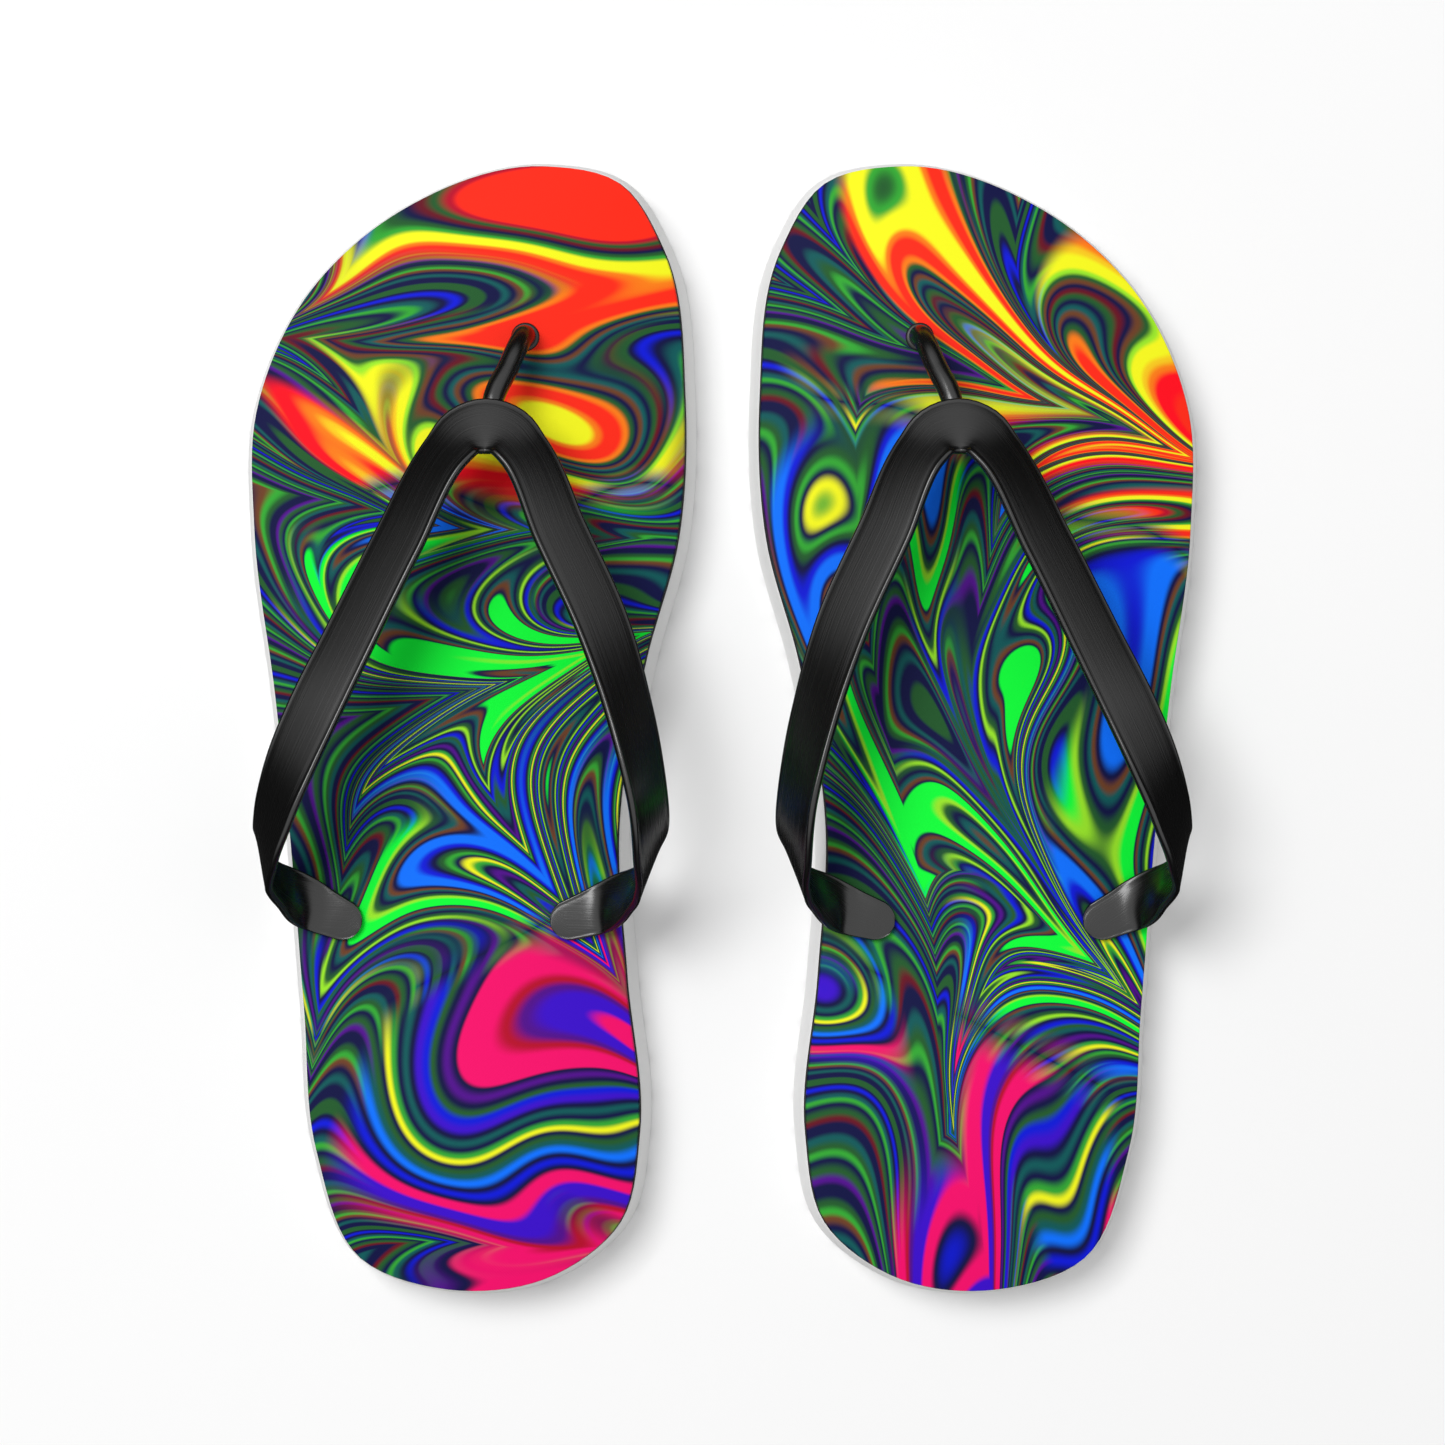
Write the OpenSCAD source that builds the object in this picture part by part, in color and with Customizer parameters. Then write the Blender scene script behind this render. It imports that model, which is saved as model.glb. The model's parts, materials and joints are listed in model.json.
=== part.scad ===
// A pair of thong sandals (flip-flops) standing side by side.
// Millimetres, +Z up, +Y towards the toes. The ground is z = 0 and the pair is
// centred on the origin: the right sandal at +X, the left one its mirror image.
// Each sandal is a three-layer sole, a ribbon strap, a toe post and three plugs.

/* [Sole] */
// Length of the footbed from heel to toe
sole_len = 270; // [200:1:330]
// Width of the footbed across the ball of the foot
sole_w = 104; // [80:1:130]
// Clear space between the two footbeds where they come closest
pair_gap = 18; // [12:0.5:60]
// Thickness of the white rubber outsole
outsole_t = 12; // [8:0.5:24]
// Thickness of the black foam midsole
midsole_t = 2.8; // [1:0.1:8]
// Thickness of the printed top sheet
footbed_t = 1.2; // [0.6:0.1:3]
// How far the side wall spreads from the footbed to the ground
wall_flare = 3.1; // [0.5:0.1:6]
// Rounding of the wall's lower edge
foot_round = 1; // [0.3:0.1:2]
// Distance from the toe tip back to the line where the sole bends
flex_back = 90; // [70:1:110]
// Width of the slit between the two halves of each layer
flex_slit = 0.3; // [0.2:0.05:0.6]

/* [Tread] */
// Width of one tread groove
groove_w = 2; // [1:0.1:3]
// Depth of the tread grooves
groove_depth = 1.2; // [0.4:0.1:2.5]
// Distance from one groove to the next
groove_pitch = 9; // [6:0.5:20]
// Land left uncut on both sides of the bend, and between a groove and a plug
groove_land = 3; // [2:0.5:8]

/* [Strap] */
// Width of the strap ribbon
strap_w = 14.5; // [9:0.1:20]
// Thickness of the strap ribbon
strap_t = 2; // [1.4:0.1:3]
// Height of the ribbon's lower edge above its end pads, at the highest place
strap_rise = 24; // [18:0.5:40]
// Width of the rounded end pads
pad_w = 10; // [7:0.1:13]
// Slit between an end pad and the strap arm that rises from it
pad_slit = 0.8; // [0.6:0.05:1.2]

/* [Toe post] */
// Diameter of the toe post
post_d = 4.7; // [3.5:0.1:7]
// Clearance between the top of the post and the edge of the ribbon that it carries
post_gap = 1.3; // [1.1:0.1:2.5]
// How far to the inner side of the apex the post meets the ribbon
post_inward = 1.5; // [0:0.5:3]
// Clearance between the post's round foot and the footbed
post_lift = 0.6; // [0.4:0.1:1.5]
// Outside diameter of the collar round the foot of the post
collar_d = 9.4; // [8:0.1:13]
// Height of the collar
collar_h = 0.8; // [0.5:0.1:2]
// Clearance between the collar and the post
collar_clear = 1; // [0.8:0.1:1.6]

/* [Plugs] */
// Diameter of the stem that passes through the sole
stem_d = 5; // [3:0.1:8]
// Clearance all round the stem in its hole
stem_clear = 0.2; // [0.1:0.05:0.6]
// Diameter of the retaining disc under the sole
disc_d = 18; // [12:0.5:24]
// Thickness of the retaining disc
disc_t = 3; // [2:0.1:5]
// Rounding of the disc's lower rim
disc_round = 0.8; // [0.2:0.1:1]
// Clearance all round the disc in its recess
disc_clear = 0.5; // [0.2:0.1:1.5]
// How far the disc stays above the ground
disc_inset = 1.5; // [0.5:0.1:3]

/* [Hidden] */

round_fn = 64;      // facets of round parts
outline_step = 6;   // spacing of points along the sole's outline
ribbon_step = 3.2;  // spacing of rings along the ribbon
post_step = 2.4;    // spacing of rings along the toe post

// The pattern is drawn for one size and graded to the length and width above.
pattern_len = 270;
pattern_w = 104;
pattern_rise = 24;
grade_x = sole_w / pattern_w;
grade_y = sole_len / pattern_len;
grade_z = strap_rise / pattern_rise;

// Heights above the ground
midsole_z = outsole_t;
footbed_z = outsole_t + midsole_t;
top_z = footbed_z + footbed_t;
pad_z = top_z + strap_t / 2;

// Places, in the right sandal's own frame: x = 0 in mid width, + is the outer side
sandal_x = pair_gap / 2 + sole_w / 2;
flex_y = sole_len / 2 - flex_back;

// Outline of the footbed, clockwise from the toe tip
outline_pattern = [
    [-18, 135], [16, 124.5], [39.5, 103], [51, 76], [51.5, 48], [46.5, 8], [43, -25],
    [39.5, -68], [36.5, -102], [26, -127.5], [5, -135], [-20.5, -131.5], [-36, -119],
    [-40.5, -98], [-37.5, -60], [-35.5, -25], [-42, 16], [-50, 46], [-51.5, 80],
    [-46.5, 115], [-36, 131]];

// The ribbon from the outer pad over the apex to the inner pad. Each row is a point of its
// middle line in plan, the height of its lower edge above the pads, the direction that its
// lower edge faces, and how much of the full width it has between the pads and the arms.
ribbon_pattern = [
    [30.5, -46, 0, -0.45, 0.89, 0, 0],
    [36.5, -43.2, 0, -0.35, 0.93, -0.1, 0.4],
    [41, -40.3, 0.5, -0.15, 0.85, -0.5, 0.75],
    [44.6, -37.4, 1.8, 0, 0.5, -0.87, 0.95],
    [46.6, -33.8, 6.5, 0.05, 0.12, -0.99, 1],
    [46.2, -28, 14, 0.38, 0.02, -0.92, 1],
    [43.5, -19.5, 20.7, 0.66, 0.12, -0.74, 1],
    [39.5, -8.5, 23.5, 0.79, 0.28, -0.55, 1],
    [34, 4.5, 22.7, 0.8, 0.38, -0.46, 1],
    [26.3, 20.5, 20.4, 0.78, 0.38, -0.5, 1],
    [15, 43.5, 18.2, 0.75, 0.38, -0.54, 1],
    [3.2, 65.5, 16, 0.7, 0.42, -0.58, 1],
    [-0.3, 69.4, 16, 0.46, 0.75, -0.48, 1],
    [-5.4, 70.9, 16.2, 0, 0.92, -0.4, 1],
    [-10.5, 69.4, 16, -0.46, 0.75, -0.48, 1],
    [-14, 65.5, 16, -0.7, 0.42, -0.58, 1],
    [-23, 46, 17.9, -0.73, 0.44, -0.53, 1],
    [-33, 24, 20, -0.75, 0.36, -0.55, 1],
    [-38.7, 6, 21, -0.69, 0.22, -0.69, 1],
    [-42, -7.5, 22, -0.63, 0.13, -0.76, 1],
    [-43.9, -18.5, 20.4, -0.54, 0.05, -0.84, 1],
    [-44.2, -27.5, 14.3, -0.36, 0, -0.93, 1],
    [-43, -34, 7, 0, 0.02, -1, 1],
    [-40.4, -38, 2, 0.1, 0.4, -0.91, 0.95],
    [-36, -41, 0.7, 0.2, 0.78, -0.58, 0.75],
    [-31, -43.8, 0, 0.2, 0.97, -0.12, 0.4],
    [-24.6, -46, 0, 0.2, 0.98, 0, 0]];
pad_rows = 2;                               // rows from a pad's end to its slit
apex_row = 13;                              // row at the apex of the ribbon
last_row = len(ribbon_pattern) - 1;

// Middle line of the toe post, with heights above its round foot: upright, then leaning back
post_foot = [-13.6, 94];
post_pattern = [[-13.6, 94, 0], [-13.3, 93.4, 2.5], [-12.2, 90.6, 6], [-10, 85, 10]];

outer_plug_at = plan(ribbon_pattern[0]);
inner_plug_at = plan(ribbon_pattern[last_row]);
toe_plug_at = plan(post_foot);

// Plan position of a pattern point, graded to size
function plan(p) = [p[0] * grade_x, p[1] * grade_y];
function unit(v) = v / norm(v);

// Smooth curves. A point may carry more values than its place, and all are interpolated.
function chord(a, b) = norm([for (k = [0:2]) b[k] - a[k]]);
function pace(a, b, c) =
    let (h0 = chord(a, b), h1 = chord(b, c))
    ((b - a) * h1 / h0 + (c - b) * h0 / h1) / (h0 + h1);
function blend_at(a, b, pace_a, pace_b, h, t) =
    (2 * t^3 - 3 * t^2 + 1) * a + (t^3 - 2 * t^2 + t) * h * pace_a
    + (3 * t^2 - 2 * t^3) * b + (t^3 - t^2) * h * pace_b;
function row_before(p, i) = i > 0 ? p[i - 1] : 2 * p[0] - p[1];
function row_after(p, i) = i < len(p) - 1 ? p[i + 1] : 2 * p[i] - p[i - 1];
function loop_curve(p, step) =
    let (n = len(p))
    [for (i = [0:n - 1])
        let (z = p[(i + n - 1) % n], a = p[i], b = p[(i + 1) % n], c = p[(i + 2) % n],
             h = chord(a, b), m = max(1, round(h / step)))
        for (k = [0:m - 1]) blend_at(a, b, pace(z, a, b), pace(a, b, c), h, k / m)];
// Part of an open curve from row `first`, less a slit, to row `last`
function span_curve(p, first, last, slit, step) =
    [for (i = [first:last - 1])
        let (a = p[i], b = p[i + 1], h = chord(a, b), m = max(1, round(h / step)),
             start = i == first ? slit / h : 0)
        for (k = [0:i == last - 1 ? m : m - 1])
            blend_at(a, b, pace(row_before(p, i), a, b), pace(a, b, row_after(p, i + 1)),
                     h, start + (1 - start) * k / m)];

// Faces of a tube made of rings with n points each, closed by fans at both ends
function tube_faces(rings, n) = concat(
    [for (i = [0:rings - 2]) for (j = [0:n - 1])
        let (a = i * n + j, b = i * n + (j + 1) % n)
        each [[a, b, b + n], [a, b + n, a + n]]],
    [for (j = [1:n - 2]) each [
        [0, j + 1, j],
        [(rings - 1) * n, (rings - 1) * n + j, (rings - 1) * n + j + 1]]]);

// Outline of the sole at a height, which spreads evenly down to the ground
outline = loop_curve([for (p = outline_pattern) [each plan(p), 0]], outline_step);
function spread_at(z) = wall_flare * (top_z - z) / top_z;
function outline_at(z, spread) =
    let (n = len(outline))
    [for (i = [0:n - 1])
        let (d = unit(outline[(i + 1) % n] - outline[(i + n - 1) % n]))
        [outline[i].x - d.y * spread, outline[i].y + d.x * spread, z]];

// Faces of a slab's cap: a ladder of rungs that join the outer side to the inner side
function cap_faces(n) =
    [for (i = [0:n / 2])
        let (a = i, b = i + 1, c = n - i - 1, d = n - i)
        each [if (b < c) [a, b, c], if (a > 0 && a < c) [a, c, d]]];

// A slab of the sole between the given heights and spreads
module sole_slab(levels) {
    n = len(outline);
    rings = [for (level = levels) each outline_at(level[0], level[1])];
    top = (len(levels) - 1) * n;
    rungs = cap_faces(n);
    polyhedron(
        points = rings,
        faces = concat(
            [for (r = rungs) [r[2], r[1], r[0]]],
            [for (r = rungs) [for (k = r) top + k]],
            [for (k = [0:len(levels) - 2]) for (i = [0:n - 1])
                let (a = k * n + i, b = k * n + (i + 1) % n)
                each [[a, b + n, b], [a, a + n, b + n]]]));
}

module layer(z_low, z_high) {
    sole_slab([[z_low, spread_at(z_low)], [z_high, spread_at(z_high)]]);
}

// What lies behind or ahead of the bend
module heel_side() {
    intersection() {
        children();
        translate([-sole_w, flex_y - flex_slit / 2 - sole_len, -1])
            cube([2 * sole_w, sole_len, top_z + 2]);
    }
}

module forefoot_side() {
    intersection() {
        children();
        translate([-sole_w, flex_y + flex_slit / 2, -1])
            cube([2 * sole_w, sole_len, top_z + 2]);
    }
}

// Holes for the stems, and recesses for the discs
module plug_holes(places) {
    for (p = places) {
        translate([p.x, p.y, -1])
            cylinder(d = stem_d + 2 * stem_clear, h = top_z + 2, $fn = round_fn);
        translate([p.x, p.y, -1])
            cylinder(d = disc_d + 2 * disc_clear, h = disc_inset + disc_t + 1, $fn = round_fn);
    }
}

// Straight grooves across the tread, clear of the bend and of the plug recesses
module tread_grooves() {
    first = ceil(-sole_len / 2 / groove_pitch);
    recess_r = disc_d / 2 + disc_clear;
    for (i = [first:-first]) {
        y = i * groove_pitch;
        crossed = [for (p = [outer_plug_at, inner_plug_at, toe_plug_at])
            if (abs(y - p.y) < recess_r + groove_land + groove_w / 2) p];
        at_bend = abs(y - flex_y) < groove_land + groove_w / 2;
        if (len(crossed) == 0 && !at_bend)
            translate([-sole_w, y - groove_w / 2, -1])
                cube([2 * sole_w, groove_w, groove_depth + 1]);
    }
}

module outsole_blank() {
    sole_slab([[0, wall_flare - foot_round], [foot_round, spread_at(foot_round)],
               [midsole_z, spread_at(midsole_z)]]);
}

module heel_outsole() {
    color("white") difference() {
        heel_side() outsole_blank();
        tread_grooves();
        plug_holes([outer_plug_at, inner_plug_at]);
    }
}

module forefoot_outsole() {
    color("white") difference() {
        forefoot_side() outsole_blank();
        tread_grooves();
        plug_holes([toe_plug_at]);
    }
}

module heel_midsole() {
    color("black") difference() {
        heel_side() layer(midsole_z, footbed_z);
        plug_holes([outer_plug_at, inner_plug_at]);
    }
}

module forefoot_midsole() {
    color("black") difference() {
        forefoot_side() layer(midsole_z, footbed_z);
        plug_holes([toe_plug_at]);
    }
}

module heel_footbed() {
    color("royalblue") difference() {
        heel_side() layer(footbed_z, top_z);
        plug_holes([outer_plug_at, inner_plug_at]);
    }
}

module forefoot_footbed() {
    color("limegreen") difference() {
        forefoot_side() layer(footbed_z, top_z);
        plug_holes([toe_plug_at]);
    }
}

// The ribbon's stations: place of the middle line, direction of the lower edge, width
ribbon_rows = [for (p = ribbon_pattern)
    let (lean = unit([p[3], p[4], p[5]]), w = pad_w + (strap_w - pad_w) * p[6])
    [each plan(p), pad_z + p[2] * grade_z - lean.z * w / 2, each lean, w]];

// One ring of the ribbon: flat faces joined by round edges, as thick as the strap
rim_turns = [90, 45, 0, -45, -90];
function ribbon_ring(row, along) =
    let (given = [row[3], row[4], row[5]],
         across = unit(given - (given * along) * along),
         up = cross(along, across),
         half = (row[6] - strap_t) / 2,
         centre = [row[0], row[1], row[2]])
    [for (side = [1, -1]) for (turn = rim_turns)
        centre + side * across * (half + cos(turn) * strap_t / 2)
        + side * up * sin(turn) * strap_t / 2];

module ribbon(first, last, slit) {
    rows = span_curve(ribbon_rows, first, last, slit, ribbon_step);
    n = len(rows);
    rings = [for (i = [0:n - 1])
        let (a = rows[max(i - 1, 0)], b = rows[min(i + 1, n - 1)])
        each ribbon_ring(rows[i], unit([for (k = [0:2]) b[k] - a[k]]))];
    polyhedron(points = rings, faces = tube_faces(n, 2 * len(rim_turns)));
}

// The part of the ribbon that stands clear of the sole, from one pad to the other
module strap() {
    color([0.09, 0.09, 0.09]) ribbon(pad_rows, last_row - pad_rows, pad_slit);
}

// A flat end of the ribbon, round about its plug
module strap_end(first, last, slit, at) {
    color([0.09, 0.09, 0.09]) union() {
        ribbon(first, last, slit);
        translate([at.x, at.y, top_z]) cylinder(d = pad_w, h = strap_t, $fn = round_fn);
    }
}

module outer_strap_end() { strap_end(0, pad_rows, 0, outer_plug_at); }

module inner_strap_end() {
    strap_end(last_row - pad_rows, last_row, pad_slit, inner_plug_at);
}

// The toe post ends short of the ribbon's front edge, a little to the inner side of the apex
post_sides = 12;
foot_turns = [80, 55, 30];      // rings of the foot's half ball, in degrees below its middle
post_base_z = top_z + post_lift + post_d / 2;
apex = ribbon_rows[apex_row];
apex_lean = unit([apex[3], apex[4], apex[5]]);
post_top = [apex.x - post_inward, apex.y, apex.z] + apex_lean * (strap_w / 2 + post_gap);
post_rows = concat(
    [for (p = post_pattern) [each plan(p), post_base_z + p[2] * grade_z]],
    [post_top]);

// One ring of the post. The last is cut parallel to the ribbon's edge.
function post_ring(at, along, d, cut = false) =
    let (across = unit(cross(along, [0, 1, 0])), up = cross(along, across))
    [for (k = [0:post_sides - 1])
        let (turn = 360 * k / post_sides,
             out = (across * cos(turn) + up * sin(turn)) * d / 2,
             shift = cut ? (out * apex_lean) / (along * apex_lean) : 0)
        at + out - along * shift];

module toe_post() {
    rows = span_curve(post_rows, 0, len(post_rows) - 1, 0, post_step);
    n = len(rows);
    foot = [for (t = foot_turns)
        each post_ring(rows[0] - [0, 0, sin(t) * post_d / 2], [0, 0, 1], cos(t) * post_d)];
    shaft = [for (i = [0:n - 1])
        each post_ring(rows[i],
                       i == 0 ? [0, 0, 1] : unit(rows[min(i + 1, n - 1)] - rows[i - 1]),
                       post_d, i == n - 1)];
    color([0.12, 0.12, 0.12])
        polyhedron(points = concat(foot, shaft),
                   faces = tube_faces(n + len(foot_turns), post_sides));
}

// A low ring round the foot of the post
module toe_collar() {
    inner_r = post_d / 2 + collar_clear;
    rim = collar_d / 2;
    color([0.12, 0.12, 0.12]) translate([toe_plug_at.x, toe_plug_at.y, top_z])
        rotate_extrude($fn = round_fn)
            polygon([[inner_r, 0], [rim, 0], [rim, collar_h / 2],
                     [rim - collar_h / 2, collar_h], [inner_r, collar_h]]);
}

// A stem with its retaining disc, from the footbed's top down into the recess
module plug(at) {
    rim = disc_d / 2;
    color([0.12, 0.12, 0.12]) translate([at.x, at.y, 0])
        rotate_extrude($fn = round_fn)
            polygon([[0, disc_inset], [rim - disc_round, disc_inset],
                     [rim, disc_inset + disc_round], [rim, disc_inset + disc_t],
                     [stem_d / 2, disc_inset + disc_t], [stem_d / 2, top_z], [0, top_z]]);
}

module outer_plug() { plug(outer_plug_at); }
module inner_plug() { plug(inner_plug_at); }
module toe_plug() { plug(toe_plug_at); }

// Places a sandal's part on its own side of the pair
module right() { translate([sandal_x, 0, 0]) children(); }
module left() { mirror([1, 0, 0]) right() children(); }

left() heel_outsole();  // left_heel_outsole
left() forefoot_outsole();  // left_forefoot_outsole
left() heel_midsole();  // left_heel_midsole
left() forefoot_midsole();  // left_forefoot_midsole
left() heel_footbed();  // left_heel_footbed
left() forefoot_footbed();  // left_forefoot_footbed
left() strap();  // left_strap
left() inner_strap_end();  // left_inner_strap_end
left() outer_strap_end();  // left_outer_strap_end
left() toe_post();  // left_toe_post
left() toe_collar();  // left_toe_collar
left() inner_plug();  // left_inner_plug
left() outer_plug();  // left_outer_plug
left() toe_plug();  // left_toe_plug
right() heel_outsole();  // right_heel_outsole
right() forefoot_outsole();  // right_forefoot_outsole
right() heel_midsole();  // right_heel_midsole
right() forefoot_midsole();  // right_forefoot_midsole
right() heel_footbed();  // right_heel_footbed
right() forefoot_footbed();  // right_forefoot_footbed
right() strap();  // right_strap
right() inner_strap_end();  // right_inner_strap_end
right() outer_strap_end();  // right_outer_strap_end
right() toe_post();  // right_toe_post
right() toe_collar();  // right_toe_collar
right() inner_plug();  // right_inner_plug
right() outer_plug();  // right_outer_plug
right() toe_plug();  // right_toe_plug
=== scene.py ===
import json
from math import cos, pi, radians, sin

import bmesh
import bpy
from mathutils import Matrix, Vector
from mathutils.geometry import interpolate_bezier


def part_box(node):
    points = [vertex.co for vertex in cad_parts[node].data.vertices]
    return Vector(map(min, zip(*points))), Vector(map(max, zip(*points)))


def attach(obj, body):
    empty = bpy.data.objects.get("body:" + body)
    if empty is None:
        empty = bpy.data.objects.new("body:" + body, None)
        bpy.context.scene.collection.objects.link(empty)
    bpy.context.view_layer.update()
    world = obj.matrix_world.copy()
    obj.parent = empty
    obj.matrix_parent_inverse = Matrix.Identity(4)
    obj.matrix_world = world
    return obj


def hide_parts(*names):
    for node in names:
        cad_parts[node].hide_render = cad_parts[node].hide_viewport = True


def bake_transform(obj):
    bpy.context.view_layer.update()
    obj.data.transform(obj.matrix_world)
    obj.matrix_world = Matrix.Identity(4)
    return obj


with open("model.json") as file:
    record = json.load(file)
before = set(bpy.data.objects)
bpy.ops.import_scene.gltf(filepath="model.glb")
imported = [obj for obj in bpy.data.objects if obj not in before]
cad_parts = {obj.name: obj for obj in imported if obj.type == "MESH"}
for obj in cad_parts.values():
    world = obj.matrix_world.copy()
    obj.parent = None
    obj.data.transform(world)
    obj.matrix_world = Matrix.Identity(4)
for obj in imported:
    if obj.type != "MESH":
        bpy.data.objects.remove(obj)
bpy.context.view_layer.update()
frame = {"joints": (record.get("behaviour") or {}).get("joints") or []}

# ---------------------------------------------------------------------------
# The camera hangs straight over the pair, with the toes at the top of its view.
CAMERA_HEIGHT = 0.850
FIELD = 0.3474
FIELD_CENTRE_Y = 0.0013
SENSOR_MM = 36
footbed_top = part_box("right_heel_footbed")[1][2]
camera_data = bpy.data.cameras.new("overhead")
camera_data.sensor_width = SENSOR_MM
camera_data.lens = SENSOR_MM * CAMERA_HEIGHT / FIELD
camera_data.clip_end = 20
camera = bpy.data.objects.new("overhead", camera_data)
camera.location = (0, FIELD_CENTRE_Y, footbed_top + CAMERA_HEIGHT)
bpy.context.scene.collection.objects.link(camera)
bpy.context.scene.camera = camera

# ---------------------------------------------------------------------------
# A white studio table, lit by a large soft lamp beyond the toes on the left and by a
# pale room. What glossy surfaces mirror is set apart from what lights them: a dark
# table and dark walls under a pale ceiling, so that straps shine only from high up.
TABLE_HALF = 0.9
TABLE_WHITE = (0.9, 0.9, 0.9, 1)
TABLE_MIRRORED = (0.02, 0.02, 0.02, 1)
TOWARDS_LAMP = Vector((-0.406, 0.36, 1)).normalized()
LAMP_DISTANCE = 2.6
LAMP_SIZE = 1.15
LAMP_POWER = 42
# Strengths of the light from all round: low down, high up, and behind the view; then
# what a glossy surface mirrors low down and high up. Heights are shares of straight up.
WALLS = 0.28
CEILING = 0.70
CEILING_FROM, CEILING_TO = 0.25, 0.85
BACKDROP = 0.9
SHINE_LOW = 0.015
SHINE_HIGH = 1.25
SHINE_FROM, SHINE_TO = 0.27, 0.58


class Socket:
    """A node socket that Python's own operators work on."""

    def __init__(self, tree, output):
        self.tree, self.output = tree, output

    def node(self, kind, settings=None, out=0, **inputs):
        """A new node: its type, its settings, and the values or links of its sockets."""
        made = self.tree.nodes.new(kind)
        for name, value in (settings or {}).items():
            if name == "stops":
                ramp = made.color_ramp
                for place, colour in value[2:]:
                    ramp.elements.new(place).color = (*colour, 1)
                ends = ramp.elements[0], ramp.elements[-1]
                for element, (place, colour) in zip(ends, value[:2]):
                    element.position = place
                    element.color = (*colour, 1)
            else:
                setattr(made, name, value)
        for name, value in inputs.items():
            key = int(name[1:]) if name[1:].isdigit() else name.replace("_", " ")
            socket = made.inputs[key]
            if isinstance(value, Socket):
                self.tree.links.new(value.output, socket)
            else:
                socket.default_value = value
        return Socket(self.tree, made.outputs[out])

    def math(self, operation, *values):
        """A Math node on values or sockets, in order."""
        named = {f"i{k}": value for k, value in enumerate(values)}
        return self.node("ShaderNodeMath", {"operation": operation}, **named)

    def __add__(self, other):
        return self.math("ADD", self, other)

    def __radd__(self, other):
        return self.math("ADD", other, self)

    def __sub__(self, other):
        return self.math("SUBTRACT", self, other)

    def __rsub__(self, other):
        return self.math("SUBTRACT", other, self)

    def __mul__(self, other):
        return self.math("MULTIPLY", self, other)

    def __rmul__(self, other):
        return self.math("MULTIPLY", other, self)

    def __truediv__(self, other):
        return self.math("DIVIDE", self, other)

    def __rtruediv__(self, other):
        return self.math("DIVIDE", other, self)

    def __neg__(self):
        return self.math("MULTIPLY", self, -1)

    def __abs__(self):
        return self.math("ABSOLUTE", self)


def table_top():
    """A square of white board, which glossy surfaces mirror as nearly black."""
    bm = bmesh.new()
    bmesh.ops.create_grid(bm, x_segments=2, y_segments=2, size=TABLE_HALF)
    mesh = bpy.data.meshes.new("table")
    bm.to_mesh(mesh)
    table = bpy.data.objects.new("table", mesh)
    bpy.context.scene.collection.objects.link(table)
    white = bpy.data.materials.new("white table")
    white.use_nodes = True
    shader = white.node_tree.nodes["Principled BSDF"]
    start = Socket(white.node_tree, None)
    mirrored = start.node("ShaderNodeLightPath", out=3)
    colour = start.node("ShaderNodeMix", {"data_type": "RGBA"}, out=2, i0=mirrored,
                        i6=TABLE_WHITE, i7=TABLE_MIRRORED)
    white.node_tree.links.new(colour.output, shader.inputs["Base Color"])
    shader.inputs["Roughness"].default_value = 0.9
    shader.inputs["Specular IOR Level"].default_value = 0.1
    mesh.materials.append(white)


def studio_light():
    """The lamp, and the light from all round."""
    lamp_data = bpy.data.lights.new("soft lamp", "AREA")
    lamp_data.size = LAMP_SIZE
    lamp_data.energy = LAMP_POWER
    lamp = bpy.data.objects.new("soft lamp", lamp_data)
    lamp.location = TOWARDS_LAMP * LAMP_DISTANCE
    lamp.rotation_euler = TOWARDS_LAMP.to_track_quat("Z", "Y").to_euler()
    bpy.context.scene.collection.objects.link(lamp)
    world = bpy.context.scene.world or bpy.data.worlds.new("studio")
    bpy.context.scene.world = world
    world.use_nodes = True
    tree = world.node_tree
    background = next(n for n in tree.nodes if n.type == "BACKGROUND")
    start = Socket(tree, tree.nodes.new("ShaderNodeTexCoord").outputs["Generated"])
    height = start.node("ShaderNodeSeparateXYZ", out=2, Vector=start)
    shade = start.node("ShaderNodeMapRange", {"interpolation_type": "SMOOTHSTEP"},
                       Value=height, From_Min=CEILING_FROM, From_Max=CEILING_TO,
                       To_Min=WALLS, To_Max=CEILING)
    shine = start.node("ShaderNodeMapRange", {"interpolation_type": "SMOOTHSTEP"},
                       Value=height, From_Min=SHINE_FROM, From_Max=SHINE_TO,
                       To_Min=SHINE_LOW, To_Max=SHINE_HIGH)
    mirrored = start.node("ShaderNodeLightPath", out=3)
    level = start.node("ShaderNodeMix", {"data_type": "FLOAT"}, i0=mirrored, i2=shade, i3=shine)
    seen = start.node("ShaderNodeLightPath")
    level = start.node("ShaderNodeMix", {"data_type": "FLOAT"}, i0=seen, i2=level,
                       i3=BACKDROP)
    tree.links.new(level.output, background.inputs["Strength"])
    background.inputs["Color"].default_value = (1, 1, 1, 1)


table_top()
studio_light()
bpy.context.scene.view_settings.view_transform = "Standard"

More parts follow.
